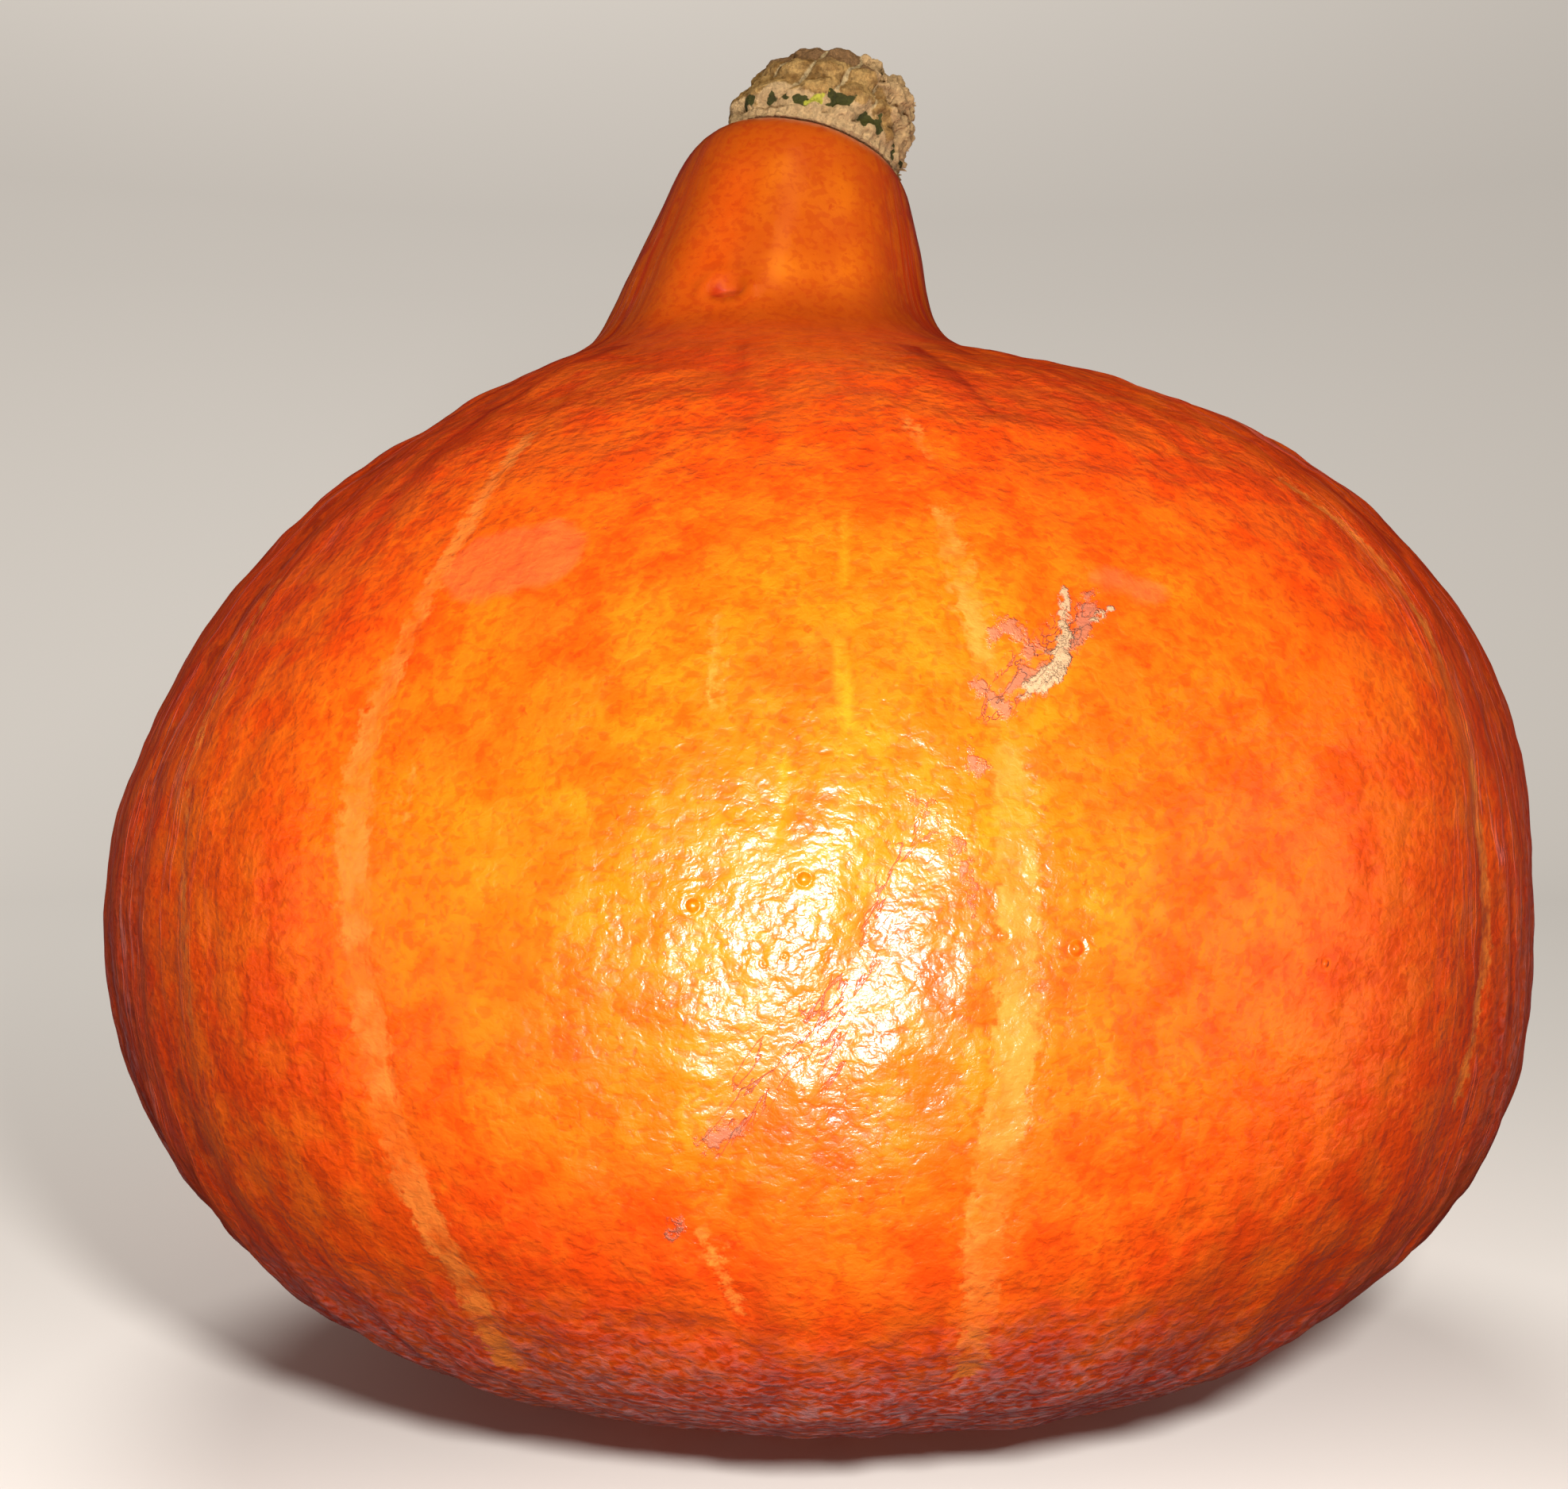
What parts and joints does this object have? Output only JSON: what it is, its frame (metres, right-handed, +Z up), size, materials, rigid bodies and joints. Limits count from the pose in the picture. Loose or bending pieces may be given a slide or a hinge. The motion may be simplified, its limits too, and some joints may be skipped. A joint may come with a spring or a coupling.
{
  "type": "pumpkin",
  "caption": "Whole onion-shaped winter squash with a short neck and a dry ribbed stem stub, standing on its blossom end.",
  "frame": {"origin": "centre of the bounding box's bottom face, on the surface the squash stands on", "axes": "+Z up from the blossom end to the stem, -Y towards the viewer, +X to the viewer's right"},
  "size_m": [0.1746, 0.176, 0.1694],
  "materials": {
    "rind": null,
    "stem": "dry, dull, ribbed olive-tan stem cork with dark patches and a torn fibrous end"
  },
  "bodies": {
    "root": {"fruit": "rind", "stem": "stem"}
  },
  "joints": []
}
